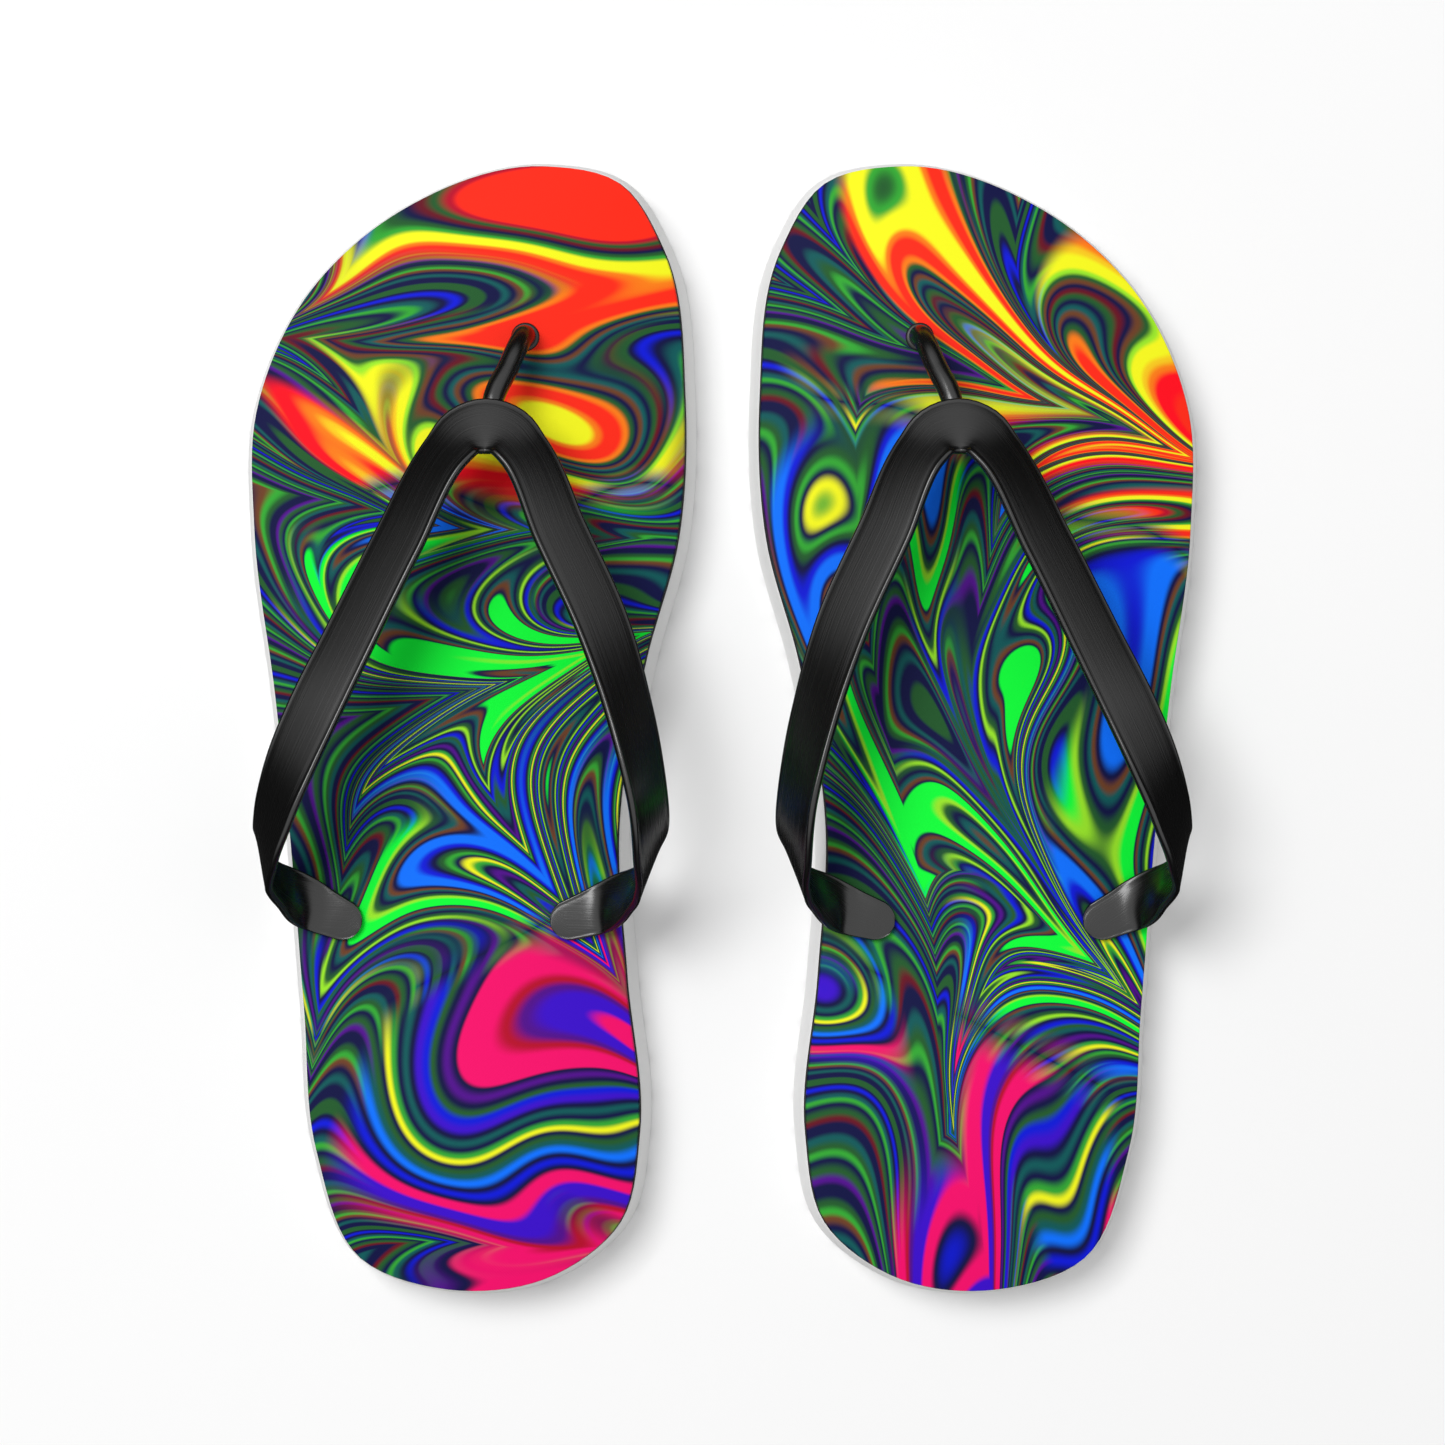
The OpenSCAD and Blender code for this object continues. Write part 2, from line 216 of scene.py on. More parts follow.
# ---------------------------------------------------------------------------
# The outsole is one slab of white rubber, pressed in a mould that spreads it a
# little towards the ground. Straight grooves cross the tread, and a round recess
# under each hole takes a plug's disc.
# The outline of the footbed, in millimetres from the middle of the right sandal
OUTLINE = (
    (-18, 135), (16, 124.5), (39.5, 103), (51, 76), (51.5, 48), (46.5, 8), (43, -25),
    (39.5, -68), (36.5, -102), (26, -127.5), (5, -135), (-20.5, -131.5), (-36, -119),
    (-40.5, -98), (-37.5, -60), (-35.5, -25), (-42, 16), (-50, 46), (-51.5, 80),
    (-46.5, 115), (-36, 131))
OUTLINE_STEP = 0.003
MM = 0.001
SIDES = {"left": -1, "right": 1}
JOINTS = {joint["name"]: joint for joint in frame["joints"]}
sandal_x, flex_y = JOINTS["right_sole_flex"]["pos_m"][:2]
WALL_FLARE = 0.0031
BEND_START = flex_y - 0.012
BEND_END = flex_y + 0.038
BEND_STEP = 0.0025
# The cuts start here so that none falls on the edge of a groove in the tread
FIRST_CUT = BEND_START - 0.0017


def paced(before, here, after):
    """The tangent of a smooth curve at a point, from the chords on both sides."""
    back, ahead = (here - before).length, (after - here).length
    return ((here - before) * ahead / back + (after - here) * back / ahead) / (back + ahead)


def smooth_loop(points, step):
    """Points about a step apart on the smooth closed curve through the given ones."""
    count = len(points)
    loop = []
    for i in range(count):
        a, b = points[i], points[(i + 1) % count]
        chord = (b - a).length
        leave = a + paced(points[i - 1], a, b) * chord / 3
        arrive = b - paced(a, b, points[(i + 2) % count]) * chord / 3
        loop += interpolate_bezier(a, leave, arrive, b, max(2, round(chord / step) + 1))[:-1]
    return loop


def sole_ring(side, level, spread):
    """A sandal's outline, at a height above the ground and spread outwards."""
    loop = smooth_loop([Vector((x * MM, y * MM, 0)) for x, y in OUTLINE], OUTLINE_STEP)
    ring = []
    for i, point in enumerate(loop):
        along = (loop[(i + 1) % len(loop)] - loop[i - 1]).normalized()
        out = Vector((-along.y, along.x, 0))
        x, y = point.x + out.x * spread, point.y + out.y * spread
        ring.append(Vector((SIDES[side] * (sandal_x + x), y, level)))
    return ring


def spread_at(level):
    """How far the wall stands out from the footbed's outline at a height."""
    return WALL_FLARE * (1 - level / footbed_top)


WELD = 1e-7


def tube(rings):
    """A closed tube through rings of points: a grid rolled up, welded and capped."""
    rows, around = len(rings), len(rings[0])
    bm = bmesh.new()
    made = bmesh.ops.create_grid(bm, x_segments=around, y_segments=rows - 1, size=0.5)
    order = sorted(made["verts"], key=lambda v: (round(v.co.y, 5), round(v.co.x, 5)))
    for i, vert in enumerate(order):
        row, place = divmod(i, around + 1)
        vert.co = rings[row][place % around]
    bmesh.ops.remove_doubles(bm, verts=bm.verts, dist=WELD)
    bmesh.ops.holes_fill(bm, edges=bm.edges, sides=around + 1)
    bmesh.ops.recalc_face_normals(bm, faces=bm.faces)
    return bm


def cut_for_bend(bm):
    """Cuts across the sole at even steps over the band where it bends."""
    y = FIRST_CUT
    while y < BEND_END + BEND_STEP:
        bmesh.ops.bisect_plane(bm, geom=bm.verts[:] + bm.edges[:] + bm.faces[:], dist=1e-6,
                               plane_co=(0, y, 0), plane_no=(0, 1, 0))
        y += BEND_STEP


def add_piece(bm, name, material, smooth=35):
    """Makes an object of a finished bmesh, with edges sharper than an angle kept sharp."""
    mesh = bpy.data.meshes.new(name)
    bm.to_mesh(mesh)
    bm.free()
    mesh.materials.append(material)
    for polygon in mesh.polygons:
        polygon.use_smooth = True
    mesh.set_sharp_from_angle(angle=radians(smooth))
    piece = bpy.data.objects.new(name, mesh)
    bpy.context.scene.collection.objects.link(piece)
    return piece


def flex(piece):
    """Bakes the piece's placement into its mesh."""
    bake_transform(piece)


def new_material(name, colour, roughness):
    """A material, its Principled shader, and an empty socket to make its nodes from."""
    material = bpy.data.materials.new(name)
    material.use_nodes = True
    shader = material.node_tree.nodes["Principled BSDF"]
    shader.inputs["Base Color"].default_value = (*colour, 1)
    shader.inputs["Roughness"].default_value = roughness
    return material, shader, Socket(material.node_tree, None)


def join(shader, name, socket):
    """Feeds one of a shader's inputs from a socket."""
    socket.tree.links.new(socket.output, shader.inputs[name])


def white_rubber():
    """Matt rubber with a fine grain, a little shinier here and there."""
    material, shader, start = new_material("white rubber", (0.86, 0.86, 0.855), 0.62)
    place = start.node("ShaderNodeTexCoord", out=3)
    grain = start.node("ShaderNodeTexNoise", Vector=place, Scale=1400.0, Detail=3.0)
    cloud = start.node("ShaderNodeTexNoise", Vector=place, Scale=60.0, Detail=2.0)
    join(shader, "Roughness", 0.56 + cloud * 0.14)
    join(shader, "Normal", start.node("ShaderNodeBump", Height=grain, Strength=0.25,
                                      Distance=0.0002))
    return material


# Heights on the wall, and millimetres that it stands out there from the straight flare
OUTSOLE_WALL = ((0.0, -1.0), (0.0003, -0.3), (0.001, 0), (0.004, 0), (0.008, 0),
                (0.0112, 0), (0.0117, -0.12), (0.012, -0.45))
GROOVE_PITCH = 0.009
GROOVE_HALF = 0.001
GROOVE_DEPTH = 0.0012
GROOVE_LAND = 0.003
GROOVE_LENGTH = 0.14
GROOVES = range(-15, 16)
SHARP_RUBBER = 20
RECESS_R = 0.0095
RECESS_DEPTH = 0.0045
ROUND_STEPS = 64


def plug_places(side):
    """The middles of a sandal's three plugs, with the body that each one rides on."""
    for kind, body in (("outer", "heel"), ("inner", "heel"), ("toe", "forefoot")):
        low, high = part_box(f"{side}_{kind}_plug")
        yield kind, body, (low[0] + high[0]) / 2, (low[1] + high[1]) / 2


def tread_cutter(side):
    """Bars and discs of the shape of the grooves and recesses."""
    bm = bmesh.new()
    places = [(x, y) for kind, body, x, y in plug_places(side)]
    for i in GROOVES:
        y = i * GROOVE_PITCH
        clear = GROOVE_LAND + GROOVE_HALF
        if any(abs(y - py) < RECESS_R + clear for px, py in places) or abs(y - flex_y) < clear:
            continue
        made = bmesh.ops.create_cube(bm, size=1)["verts"]
        bmesh.ops.scale(bm, verts=made,
                        vec=(GROOVE_LENGTH, 2 * GROOVE_HALF, 2 * GROOVE_DEPTH))
        bmesh.ops.translate(bm, verts=made, vec=(SIDES[side] * sandal_x, y, 0))
    for x, y in places:
        made = bmesh.ops.create_cone(bm, cap_ends=True, segments=ROUND_STEPS, radius1=RECESS_R,
                                     radius2=RECESS_R, depth=2 * RECESS_DEPTH)["verts"]
        bmesh.ops.translate(bm, verts=made, vec=(x, y, 0))
    return bm


def cut_away(piece, bm):
    """Cuts a bmesh's shape out of a piece, and applies the cut."""
    mesh = bpy.data.meshes.new("cutter")
    bm.to_mesh(mesh)
    bm.free()
    cutter = bpy.data.objects.new("cutter", mesh)
    bpy.context.scene.collection.objects.link(cutter)
    cut = piece.modifiers.new("cut", "BOOLEAN")
    cut.operation, cut.object, cut.solver = "DIFFERENCE", cutter, "EXACT"
    graph = bpy.context.evaluated_depsgraph_get()
    done = bpy.data.meshes.new_from_object(piece.evaluated_get(graph))
    piece.modifiers.clear()
    piece.data = done
    bpy.data.objects.remove(cutter)


rubber = white_rubber()
for side in SIDES:
    rings = [sole_ring(side, level, spread_at(level) + MM * pull) for level, pull in OUTSOLE_WALL]
    bm = tube(rings)
    cut_for_bend(bm)
    outsole = add_piece(bm, f"{side}_outsole", rubber)
    cut_away(outsole, tread_cutter(side))
    outsole.data.set_sharp_from_angle(angle=radians(SHARP_RUBBER))
    flex(outsole)
    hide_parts(f"{side}_heel_outsole", f"{side}_forefoot_outsole")

# ---------------------------------------------------------------------------
# The midsole is a thin sheet of black foam, cut out and glued on the outsole. Its
# cut edge shows as a dark line under the print.
foam_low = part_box("right_heel_midsole")[0][2]
foam_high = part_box("right_heel_midsole")[1][2]
FOAM_INSET = 0.0002


def black_foam():
    """The cut edge of closed-cell foam."""
    material, shader, start = new_material("black foam", (0.012, 0.012, 0.013), 0.85)
    place = start.node("ShaderNodeTexCoord", out=3)
    cells = start.node("ShaderNodeTexVoronoi", Vector=place, Scale=1800.0)
    join(shader, "Normal", start.node("ShaderNodeBump", Height=cells, Strength=0.5,
                                      Distance=0.0002))
    return material


foam = black_foam()
for side in SIDES:
    rings = [sole_ring(side, level, spread_at(level) - FOAM_INSET)
             for level in (foam_low, (foam_low + foam_high) / 2, foam_high)]
    bm = tube(rings)
    cut_for_bend(bm)
    midsole = add_piece(bm, f"{side}_midsole", foam)
    flex(midsole)
    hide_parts(f"{side}_heel_midsole", f"{side}_forefoot_midsole")

# ---------------------------------------------------------------------------
# The top sheet is woven polyester, printed in a swirl of inks that have been drawn
# through one another, and bonded to the foam.
# Heights above the foam, and millimetres that the sheet's edge stands out there
SHEET_WALL = ((0, 0), (0.0009, 0), (0.00112, -0.05), (0.0012, -0.2))
# The pitch of the weave, in millimetres
THREAD = 0.7
INKS = dict(
    red=(0.97, 0, 0.01), scarlet=(0.95, 0.02, 0.005), orange=(0.92, 0.19, 0.005),
    amber=(0.89, 0.56, 0.01), yellow=(0.88, 0.89, 0.01), lime=(0.31, 0.76, 0.02),
    green=(0, 0.95, 0.04), leaf=(0.03, 0.36, 0.03), moss=(0.012, 0.09, 0.02),
    teal=(0.001, 0.09, 0.09), navy=(0, 0.001, 0.045), blue=(0, 0.006, 0.65),
    azure=(0, 0.16, 0.97), indigo=(0.04, 0, 0.56), purple=(0.075, 0, 0.24),
    magenta=(0.87, 0, 0.14), crimson=(0.44, 0, 0.02), brown=(0.14, 0.045, 0.015),
    wine=(0.12, 0.002, 0.012))
# The order of the inks in each part of the print, with the width of each
TOE_INKS = """scarlet 3 red 2 orange .7 amber .7 yellow 1.2 lime .4 moss .5 brown .35 navy .45
    wine .35 moss .5 navy .4 teal .4 brown .35 navy .4 moss .5 orange .5 scarlet 1.6
    orange .4 yellow 1.3 leaf .5 moss .4 navy .5 wine .4 moss .4 crimson .6"""
ARCH_INKS = """green 1.5 lime .5 moss .5 navy .5 teal .4 brown .3 navy .5 azure 1.5 blue .8
    navy .5 moss .4 leaf .4 navy .5 yellow .5 leaf .4 navy .5 purple .6 navy .4 teal .5
    moss .4 blue .6 navy .5 lime .35 moss .5 navy .5 teal .4 brown .3 navy .4"""
HEEL_INKS = """magenta 1.8 crimson .5 purple .6 indigo 1.3 magenta 1 navy .5 blue .6 navy .4
    azure .7 teal .5 moss .4 navy .5 yellow .35 leaf .5 navy .6 teal .5 navy .5 indigo .7
    blue .6 moss .5 navy .5 purple .6 navy .5"""
# Thin dark inks, drawn out between the bright pools
FLOW_INKS = """moss 1 navy 1.2 teal .8 navy .7 brown .7 leaf .35 moss .9 navy 1.1 purple .6
    moss .8 navy .9 leaf .3 moss .7 teal .8 navy 1 wine .6 moss .8 navy .9 leaf .4 teal .6
    navy .8 blue .5 navy .7"""
# How the inks were drawn, in millimetres from the middle of each footbed. A tine is
# drawn through a point at an angle, and drags the inks a distance that fades with a
# width. A swirl turns them round a point by an angle, as far as its reach. A pool
# spreads ink round a point, with an angle, a length, a width and a strength.
TINES = {
    "left": ((0, 97, 6, -30, 9), (0, 50, -8, 36, 9), (-10, 8, 14, 46, 10),
             (-36, -70, 86, -26, 9), (34, -60, -54, 45, 10), (0, -122, -6, 36, 9)),
    "right": ((0, 86, -24, 50, 9), (-26, 30, -80, 26, 9), (0, -30, -44, 55, 10),
              (-12, -90, 84, -40, 9))}
SWIRLS = {"left": (16, 74, 50, 22), "right": (14, 32, -80, 22)}
POOLS = {
    "left": ((28, 124, -12, 50, 12, 0.6), (26, 99, 6, 44, 5, 0.35), (16, 74, 4, 30, 16, 0.95),
             (-50, 74, 8, 16, 10, 0.4), (-26, 82, -12, 16, 5, 0.3),
             (-34, 34, -58, 30, 14, 0.7), (-8, 26, 70, 20, 8, 0.65),
             (-18, -24, 50, 30, 10, 0.6), (8, -6, 55, 30, 9, 0.9),
             (42, -14, 70, 34, 10, 1), (6, -78, 58, 54, 24, 0.9),
             (34, -104, 100, 30, 12, 0.3), (24, -134, 8, 40, 8, 0.65)),
    "right": ((14, 108, -40, 46, 16, 0.9), (-34, 118, 55, 26, 9, 0.3),
              (46, 92, -55, 28, 9, 0.4), (-42, 58, 72, 34, 10, 0.6),
              (-12, 66, -72, 26, 7, 0.5), (40, 50, -12, 30, 9, 0.5),
              (8, 30, 40, 30, 10, 0.8), (34, -5, 80, 46, 14, 0.6),
              (-10, -8, -46, 44, 11, 1), (-36, -60, 40, 18, 12, 0.7),
              (-8, -112, 82, 56, 11, 0.95), (20, -95, 100, 60, 9, 0.3))}
# How the inks lay before they were drawn, and where the toe's and the heel's begin
LIE = {"left": (0.003, 0.014), "right": (-0.009, 0.011)}
START = {"left": (0.3, 0.1, 0.2), "right": (0.25, 0.1, 0.5)}
TOE_FROM = {"left": (50, 60, 0), "right": (58, 70, 0.5)}
HEEL_FROM = {"left": (-62, -50, -0.5), "right": (-80, -62, 0.5)}
# How often each order of inks comes round, for the toe, arch, heel and thin flow
PACES = (0.75, 0.9, 0.8, 1.9)
# Where the pools' own part is this strong, their bright inks take over from the flow
BRIGHT_FROM, BRIGHT_TO = 0.16, 0.42
CLOTH_SPECULAR = 0.15


def ink_ramp(order):
    """Colour stops for inks side by side: one at a thin one's middle, two on a wide one."""
    words = order.split()
    inks = [(INKS[name], float(width)) for name, width in zip(words[::2], words[1::2])]
    total = sum(width for ink, width in inks)
    stops, edge = [], 0.0
    for ink, width in inks:
        places = (0.2, 0.8) if width >= 1 else (0.5,)
        stops += [((edge + width * place) / total, ink) for place in places]
        edge += width
    return [(0.0, stops[0][1]), (1.0, stops[0][1])] + stops[1:]


def sine(socket):
    """The sine of a number in radians."""
    return socket.math("SINE", socket)


def local(place, x, y, angle=0, long=1, wide=1):
    """The place as seen from a point, turned by an angle and divided by two sizes."""
    return place.node("ShaderNodeMapping", {"vector_type": "TEXTURE"}, Vector=place,
                      Location=(x, y, 0), Rotation=(0, 0, radians(angle)),
                      Scale=(long, wide, 1))


def fading(place):
    """1 at the middle, and less with the square of the distance from it."""
    square = place.node("ShaderNodeVectorMath", {"operation": "DOT_PRODUCT"}, out=1,
                        i0=place, i1=place)
    return square.math("EXPONENT", -square)


def drawn_inks(place, side):
    """The height whose level lines part the inks, and how much of it the pools make."""
    x = place.node("ShaderNodeSeparateXYZ", Vector=place)
    y = place.node("ShaderNodeSeparateXYZ", out=1, Vector=place)
    start_x = x + 1.6 * sine(y / 17 + 0.7) + 0.5 * sine(x / 9 + y / 8)
    start_y = y + 2.0 * sine(x / 19 + 1.9) + 0.5 * sine(x / 7 - y / 11 + 0.6)
    place = x.node("ShaderNodeCombineXYZ", X=start_x, Y=start_y)
    for at_x, at_y, angle, drag, width in TINES[side]:
        beside = local(place, at_x, at_y, angle)
        off = place.node("ShaderNodeSeparateXYZ", out=1, Vector=beside)
        pull = off.math("EXPONENT", abs(off) / -width) * -drag
        way = (cos(radians(angle)), sin(radians(angle)), 0)
        step = pull.node("ShaderNodeVectorMath", {"operation": "SCALE"}, i0=way, Scale=pull)
        place = step.node("ShaderNodeVectorMath", {"operation": "ADD"}, i0=place, i1=step)
    at_x, at_y, turn, reach = SWIRLS[side]
    turned = fading(local(place, at_x, at_y, 0, reach, reach)) * radians(turn)
    place = turned.node("ShaderNodeVectorRotate", {"rotation_type": "Z_AXIS"}, Vector=place,
                        Center=(at_x, at_y, 0), Angle=turned)
    lie = LIE[side]
    height = place.node("ShaderNodeVectorMath", {"operation": "DOT_PRODUCT"}, out=1,
                        i0=place, i1=(*lie, 0))
    pooled = 0.0
    for *where, strength in POOLS[side]:
        pool = fading(local(place, *where))
        height = height + pool * strength
        pooled = pooled + pool
    return height, pooled


def marbled_print(side):
    """Woven cloth with one sandal's print, which reads the sheet's own flat map."""
    material, shader, start = new_material(f"{side} print", (0.1, 0.3, 0.8), 0.65)
    shader.inputs["Specular IOR Level"].default_value = CLOTH_SPECULAR
    uv = start.node("ShaderNodeUVMap", {"uv_map": "print"})
    place = uv.node("ShaderNodeVectorMath", {"operation": "SCALE"}, i0=uv, Scale=1000.0)
    x = place.node("ShaderNodeSeparateXYZ", Vector=place)
    y = place.node("ShaderNodeSeparateXYZ", out=1, Vector=place)
    height, pooled = drawn_inks(place, side)
    colours = []
    for order, pace, begin in zip((TOE_INKS, ARCH_INKS, HEEL_INKS, FLOW_INKS),
                                  PACES, (*START[side], 0)):
        along = height.math("FRACT", height * pace + begin)
        ramp = height.node("ShaderNodeValToRGB", {"stops": ink_ramp(order)}, Fac=along)
        ramp.output.node.color_ramp.interpolation = "EASE"
        colours.append(ramp)
    low, high, lean = TOE_FROM[side]
    toe = x.node("ShaderNodeMapRange", {"interpolation_type": "SMOOTHSTEP"},
                 Value=y + lean * x + 4 * sine(x / 9), From_Min=low, From_Max=high)
    low, high, lean = HEEL_FROM[side]
    arch = x.node("ShaderNodeMapRange", {"interpolation_type": "SMOOTHSTEP"},
                  Value=y + lean * x, From_Min=low, From_Max=high)
    upper = toe.node("ShaderNodeMix", {"data_type": "RGBA"}, out=2, i0=toe,
                     i6=colours[1], i7=colours[0])
    whole = toe.node("ShaderNodeMix", {"data_type": "RGBA"}, out=2, i0=arch,
                     i6=colours[2], i7=upper)
    bright = pooled.node("ShaderNodeMapRange", {"interpolation_type": "SMOOTHSTEP"},
                         Value=pooled, From_Min=BRIGHT_FROM, From_Max=BRIGHT_TO)
    apart = abs(toe * 2 - 1) * abs(arch * 2 - 1)
    print_colour = bright.node("ShaderNodeMix", {"data_type": "RGBA"}, out=2,
                               i0=bright * apart, i6=colours[3], i7=whole)
    join(shader, "Base Color", print_colour)
    warp, weft = sine(x * (2 * pi / THREAD)), sine(y * (2 * pi / THREAD))
    join(shader, "Normal", x.node("ShaderNodeBump", Height=warp * weft, Strength=0.15,
                                  Distance=0.00005))
    return material


for side in SIDES:
    rings = [sole_ring(side, foam_high + rise, spread_at(foam_high + rise) + MM * pull)
             for rise, pull in SHEET_WALL]
    bm = tube(rings)
    cut_for_bend(bm)
    layer = bm.loops.layers.uv.new("print")
    for face in bm.faces:
        for corner in face.loops:
            x, y = corner.vert.co.x - SIDES[side] * sandal_x, corner.vert.co.y
            corner[layer].uv = (x, y)
    top_sheet = add_piece(bm, f"{side}_top_sheet", marbled_print(side))
    flex(top_sheet)
    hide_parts(f"{side}_heel_footbed", f"{side}_forefoot_footbed")

# ---------------------------------------------------------------------------
# The strap is a ribbon of soft black PVC, moulded in one piece. It lies flat at its
# two rear ends, rises on its edge round the foot, and turns over at the apex.
# Its middle line, from the outer end to the inner: place from the middle of the sandal,
# height of its lower edge, the direction across it, and how wide it is, from pad to full
RIBBON = (
    (30.5, -46, 0, -0.45, 0.89, 0, 0),
    (36.5, -43.2, 0, -0.35, 0.93, -0.1, 0.4),
    (41, -40.3, 0.5, -0.15, 0.85, -0.5, 0.75),
    (44.6, -37.4, 1.8, 0, 0.5, -0.87, 0.95),
    (46.6, -33.8, 6.5, 0.05, 0.12, -0.99, 1),
    (46.2, -28, 14, 0.38, 0.02, -0.92, 1),
    (43.5, -19.5, 20.7, 0.66, 0.12, -0.74, 1),
    (39.5, -8.5, 23.5, 0.79, 0.28, -0.55, 1),
    (34, 4.5, 22.7, 0.8, 0.38, -0.46, 1),
    (26.3, 20.5, 20.4, 0.78, 0.38, -0.5, 1),
    (15, 43.5, 18.2, 0.75, 0.38, -0.54, 1),
    (3.2, 65.5, 16, 0.7, 0.42, -0.58, 1),
    (-0.3, 69.4, 16, 0.46, 0.75, -0.48, 1),
    (-5.4, 70.9, 16.2, 0, 0.92, -0.4, 1),
    (-10.5, 69.4, 16, -0.46, 0.75, -0.48, 1),
    (-14, 65.5, 16, -0.7, 0.42, -0.58, 1),
    (-23, 46, 17.9, -0.73, 0.44, -0.53, 1),
    (-33, 24, 20, -0.75, 0.36, -0.55, 1),
    (-38.7, 6, 21, -0.69, 0.22, -0.69, 1),
    (-42, -7.5, 22, -0.63, 0.13, -0.76, 1),
    (-43.9, -18.5, 20.4, -0.54, 0.05, -0.84, 1),
    (-44.2, -27.5, 14.3, -0.36, 0, -0.93, 1),
    (-43, -34, 7, 0, 0.02, -1, 1),
    (-40.4, -38, 2, 0.1, 0.4, -0.91, 0.95),
    (-36, -41, 0.7, 0.2, 0.78, -0.58, 0.75),
    (-31, -43.8, 0, 0.2, 0.97, -0.12, 0.4),
    (-24.6, -46, 0, 0.2, 0.98, 0, 0))
RIBBON_W = 0.0145
PAD_W = 0.010
RIBBON_T = 0.002
RIBBON_STEP = 0.0012
pad_middle = footbed_top + RIBBON_T / 2
PVC_ROUGHNESS = 0.24
PVC_SPECULAR = 0.6
# Changes to the metre along the ribbon, and round it
PVC_LINES = (18.0, 2600.0, 1.0)
SHARP_PVC = 60
# Angles, in degrees, of the stations that close each end of the ribbon in a half round
END_ANGLES = (86, 78, 68, 56, 42, 28, 14)
# Half of the ribbon's section: place across it, as a share of the half width, then how
# far that is from its middle layer, as a share of half the thickness
SECTION = ((0, 1), (0.3, 0.99), (0.6, 0.95), (0.78, 0.92), (0.84, 0.86), (0.89, 0.93),
           (0.94, 0.95), (0.975, 0.72), (1, 0.25))


def hermite(a, b, leave, arrive, chord, t):
    """A point, with all its values, on the smooth curve between two rows."""
    return [(2 * t**3 - 3 * t**2 + 1) * p + (t**3 - 2 * t**2 + t) * chord * m
            + (3 * t**2 - 2 * t**3) * q + (t**3 - t**2) * chord * n
            for p, q, m, n in zip(a, b, leave, arrive)]


def chord_of(a, b):
    """The distance between two rows' places."""
    return (Vector(b[:3]) - Vector(a[:3])).length


def row_pace(a, b, c):
    """How fast each value changes at the middle one of three rows."""
    back, ahead = chord_of(a, b), chord_of(b, c)
    return [((q - p) * ahead / back + (r - q) * back / ahead) / (back + ahead)
            for p, q, r in zip(a, b, c)]


def smooth_rows(rows, step):
    """Rows about a step apart on the smooth open curve through the given ones."""
    ends = ([2 * p - q for p, q in zip(rows[0], rows[1])],
            [2 * p - q for p, q in zip(rows[-1], rows[-2])])
    full = [ends[0], *rows, ends[1]]
    smooth = []
    for before, a, b, after in zip(full, full[1:], full[2:], full[3:]):
        h = chord_of(a, b)
        steps = max(1, round(h / step))
        leave, arrive = row_pace(before, a, b), row_pace(a, b, after)
        smooth += [hermite(a, b, leave, arrive, h, k / steps) for k in range(steps)]
    return smooth + [list(rows[-1])]


def ribbon_stations(side):
    """Middle, direction across and width of the ribbon at each station, end to end."""
    rows = []
    for x, y, low, lean_x, lean_y, lean_z, share in RIBBON:
        lean = Vector((lean_x, lean_y, lean_z)).normalized()
        width = PAD_W + (RIBBON_W - PAD_W) * share
        rows.append((x * MM, y * MM, pad_middle + low * MM - lean.z * width / 2, *lean, width))
    stations = []
    for x, y, z, lean_x, lean_y, lean_z, width in smooth_rows(rows, RIBBON_STEP):
        mirror = SIDES[side]
        stations.append((Vector((mirror * (sandal_x + x), y, z)),
                         Vector((mirror * lean_x, lean_y, lean_z)), width))
    return stations


def rounded_end(stations):
    """Stations that close a ribbon's end in a half round."""
    middle, lean, width = stations[0]
    back = (middle - stations[1][0]).normalized()
    return [(middle + back * width / 2 * sin(radians(a)), lean, width * cos(radians(a)))
            for a in END_ANGLES]


def ribbon_ring(here, before, after):
    """The section of the ribbon at a station, square to the way that it runs there."""
    middle, lean, width = here
    along = (after[0] - before[0]).normalized()
    across = (lean - along * lean.dot(along)).normalized()
    up = along.cross(across)
    half, thick = width / 2, RIBBON_T / 2
    shape = [*SECTION[:0:-1], *((-s, t) for s, t in SECTION)]
    shape += [(s, -t) for s, t in reversed(shape)]
    return [middle + across * half * s + up * thick * t for s, t in shape]


def glossy_pvc():
    """Glossy black, with fine lines drawn along the moulding."""
    material, shader, start = new_material("black PVC", (0.002, 0.002, 0.002), PVC_ROUGHNESS)
    shader.inputs["Specular IOR Level"].default_value = PVC_SPECULAR
    place = start.node("ShaderNodeUVMap", {"uv_map": "ribbon"})
    drawn = start.node("ShaderNodeMapping", Vector=place, Scale=PVC_LINES)
    lines = start.node("ShaderNodeTexNoise", Vector=drawn, Scale=1.0, Detail=3.0, Roughness=0.6)
    join(shader, "Roughness", PVC_ROUGHNESS - 0.06 + lines * 0.16)
    join(shader, "Normal", start.node("ShaderNodeBump", Height=lines, Strength=0.16,
                                      Distance=0.0002))
    return material


def lay_uv(bm, rings):
    """A UV map in metres: along the tube, and round it."""
    layer = bm.loops.layers.uv.new("ribbon")
    along = {}
    far = 0.0
    for i, ring in enumerate(rings):
        far += (ring[0] - rings[i - 1][0]).length if i else 0.0
        turn = 0.0
        for k, point in enumerate(ring):
            turn += (point - ring[k - 1]).length if k else 0.0
            along[tuple(round(c, 6) for c in point)] = (far, turn)
    for face in bm.faces:
        for corner in face.loops:
            key = tuple(round(c, 6) for c in corner.vert.co)
            corner[layer].uv = along.get(key, (0.0, 0.0))


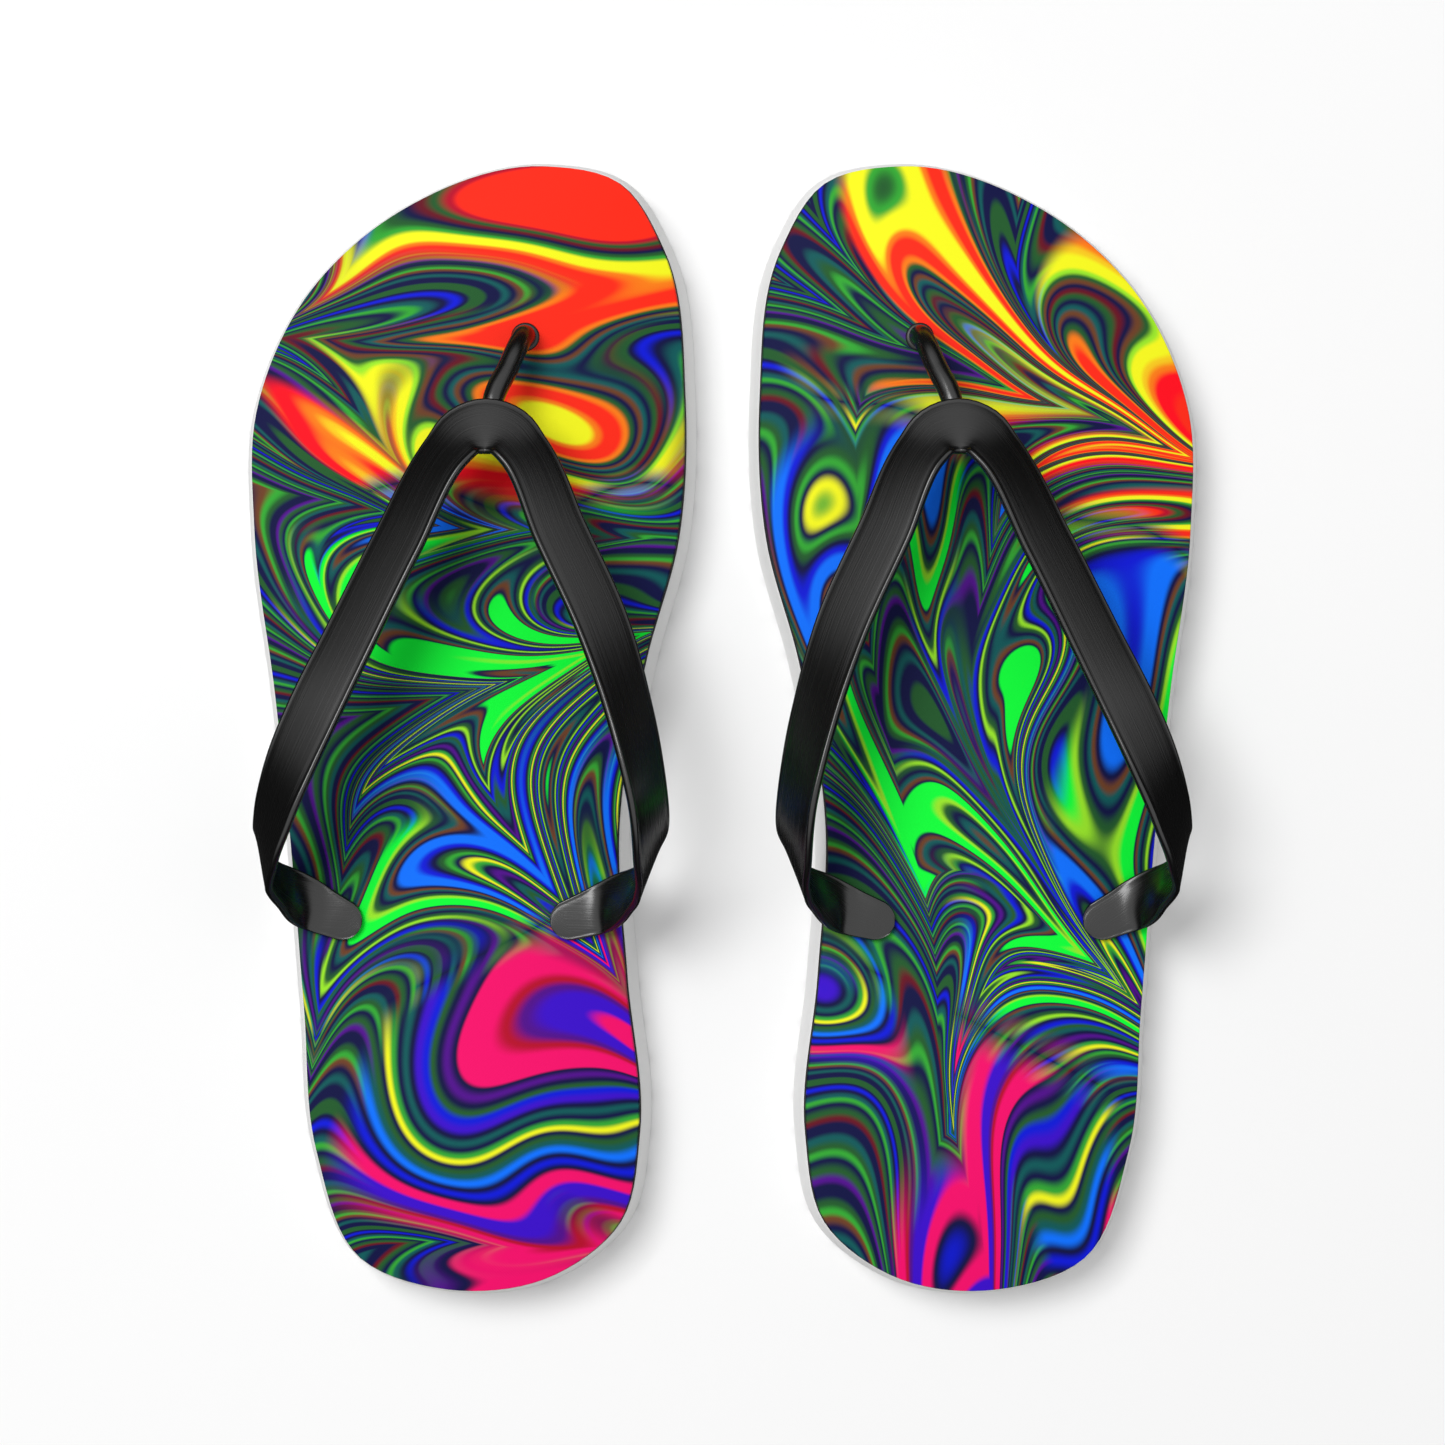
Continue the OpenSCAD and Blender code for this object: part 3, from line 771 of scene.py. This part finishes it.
pvc = glossy_pvc()
for side in SIDES:
    stations = ribbon_stations(side)
    stations = rounded_end(stations) + stations + rounded_end(stations[::-1])[::-1]
    rings = [ribbon_ring(here, stations[max(i - 1, 0)], stations[min(i + 1, len(stations) - 1)])
             for i, here in enumerate(stations)]
    bm = tube(rings)
    lay_uv(bm, rings)
    ribbon = add_piece(bm, f"{side}_ribbon_strap", pvc, smooth=SHARP_PVC)
    x, y = SIDES[side] * sandal_x, RIBBON[0][1] * MM
    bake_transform(ribbon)
    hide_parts(f"{side}_strap", f"{side}_inner_strap_end", f"{side}_outer_strap_end")

# ---------------------------------------------------------------------------
# The toe post is moulded on the strap. It stands up out of the footbed, leans back
# and runs into the front edge of the ribbon, where it tapers off.
POST_R = 0.0026
# Middle line of the post: place from the middle of the sandal, height above the
# footbed, and the share of the full radius
POST = (
    (-13.6, 94, 0.05, 1), (-13.6, 94, 2.6, 1), (-13.3, 93.4, 5.4, 1), (-12.2, 90.6, 8.9, 1),
    (-10, 85, 12.2, 1), (-7.6, 79.8, 14.6, 1), (-6.6, 76.5, 15.8, 0.9), (-5.9, 73.5, 16.9, 0.5))
POST_STEP = 0.0005
POST_SIDES = 24


def round_ring(middle, along, radius):
    """A ring of points square to the way that a round bar runs."""
    across = along.cross(Vector((0, 1, 0))).normalized()
    up = along.cross(across)
    turns = [2 * pi * k / POST_SIDES for k in range(POST_SIDES)]
    return [middle + (across * cos(t) + up * sin(t)) * radius for t in turns]


for side in SIDES:
    rows = [(x * MM, y * MM, footbed_top + z * MM, share) for x, y, z, share in POST]
    bar = [(Vector((SIDES[side] * (sandal_x + x), y, z)), share)
           for x, y, z, share in smooth_rows(rows, POST_STEP)]
    rings = []
    for i, (middle, share) in enumerate(bar):
        along = bar[min(i + 1, len(bar) - 1)][0] - bar[max(i - 1, 0)][0]
        if i == 0:
            along = Vector((0, 0, 1))
        rings.append(round_ring(middle, along.normalized(), POST_R * share))
    bm = tube(rings)
    lay_uv(bm, rings)
    post = add_piece(bm, f"{side}_post", pvc, smooth=SHARP_PVC)
    x, y = SIDES[side] * (sandal_x + POST[0][0] * MM), POST[0][1] * MM
    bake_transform(post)
    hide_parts(f"{side}_toe_post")

# ---------------------------------------------------------------------------
# A low round collar, moulded on the post, closes the hole in the footbed.
COLLAR_R = 0.0034
# Its section: shares of its radius and of its height
COLLAR_PROFILE = ((0, 0), (1, 0), (1.0, 0.35), (0.93, 0.72), (0.8, 0.9), (0.62, 0.8),
                  (0.5, 0.6))


def lathe(profile, x, y):
    """A solid of revolution about an upright axis, from radii and heights."""
    bm = bmesh.new()
    line = [bm.verts.new((x + radius, y, height)) for radius, height in profile]
    edges = [bm.edges.new(pair) for pair in zip(line, line[1:])]
    bmesh.ops.spin(bm, geom=line + edges, cent=(x, y, 0), axis=(0, 0, 1), dvec=(0, 0, 0),
                   angle=2 * pi, steps=ROUND_STEPS, use_merge=True, use_duplicate=False)
    bmesh.ops.remove_doubles(bm, verts=bm.verts, dist=WELD)
    bmesh.ops.recalc_face_normals(bm, faces=bm.faces)
    return bm


def soft_black():
    """Moulded plastic, half matt."""
    material, shader, start = new_material("moulded black", (0.004, 0.004, 0.004), 0.42)
    place = start.node("ShaderNodeTexCoord", out=3)
    grain = start.node("ShaderNodeTexNoise", Vector=place, Scale=900.0, Detail=2.0)
    join(shader, "Roughness", 0.36 + grain * 0.14)
    join(shader, "Normal", start.node("ShaderNodeBump", Height=grain, Strength=0.2,
                                      Distance=0.0001))
    return material


black_plastic = soft_black()
for side in SIDES:
    low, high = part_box(f"{side}_toe_collar")
    x, y, tall = (low[0] + high[0]) / 2, (low[1] + high[1]) / 2, high[2] - low[2]
    profile = [(COLLAR_R * share, low[2] + tall * rise) for share, rise in COLLAR_PROFILE]
    profile += [(0.0, low[2] + tall * COLLAR_PROFILE[-1][1])]
    collar = add_piece(lathe(profile, x, y), f"{side}_collar", black_plastic)
    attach(collar, f"{side}_forefoot")
    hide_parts(f"{side}_toe_collar")

# ---------------------------------------------------------------------------
# Each end of the strap, and the toe post, goes through the sole as a round stem and
# spreads into a disc, which holds it in its recess. A ring and a small pip are left
# on the disc by its mould.
STEM_R = 0.0025
DISC_T = 0.003
RIM_R = 0.0008
# The pip and the ring on the disc: distances from the middle, and heights above its face
DISC_MARKS = (
    (0.0, 0), (0.0009, 0), (0.0011, 0.0002), (0.0012, 0.0005), (0.0052, 0.0005),
    (0.0055, 0.0001), (0.0058, 0), (0.0066, 0), (0.0069, 0.0001), (0.0072, 0.0004))
RIM_ANGLES = range(0, 91, 15)


for side in SIDES:
    for kind, body, x, y in plug_places(side):
        low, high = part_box(f"{side}_{kind}_plug")
        disc_r = (high[0] - low[0]) / 2
        under, over = low[2], low[2] + DISC_T
        rim = [(disc_r - RIM_R + RIM_R * sin(radians(a)), under + RIM_R - RIM_R * cos(radians(a)))
               for a in RIM_ANGLES]
        profile = [*((r, under + rise) for r, rise in DISC_MARKS),
                   (disc_r - 0.0014, under + 0.0004), (disc_r - 0.0012, under + 0.0001), *rim,
                   (disc_r, over - 0.0002), (disc_r - 0.0002, over),
                   (STEM_R + 0.0004, over), (STEM_R, over + 0.0004), (STEM_R, high[2]),
                   (0.0, high[2])]
        plug = add_piece(lathe(profile, x, y), f"{side}_{kind}_disc", black_plastic)
        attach(plug, f"{side}_{body}")
        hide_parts(f"{side}_{kind}_plug")
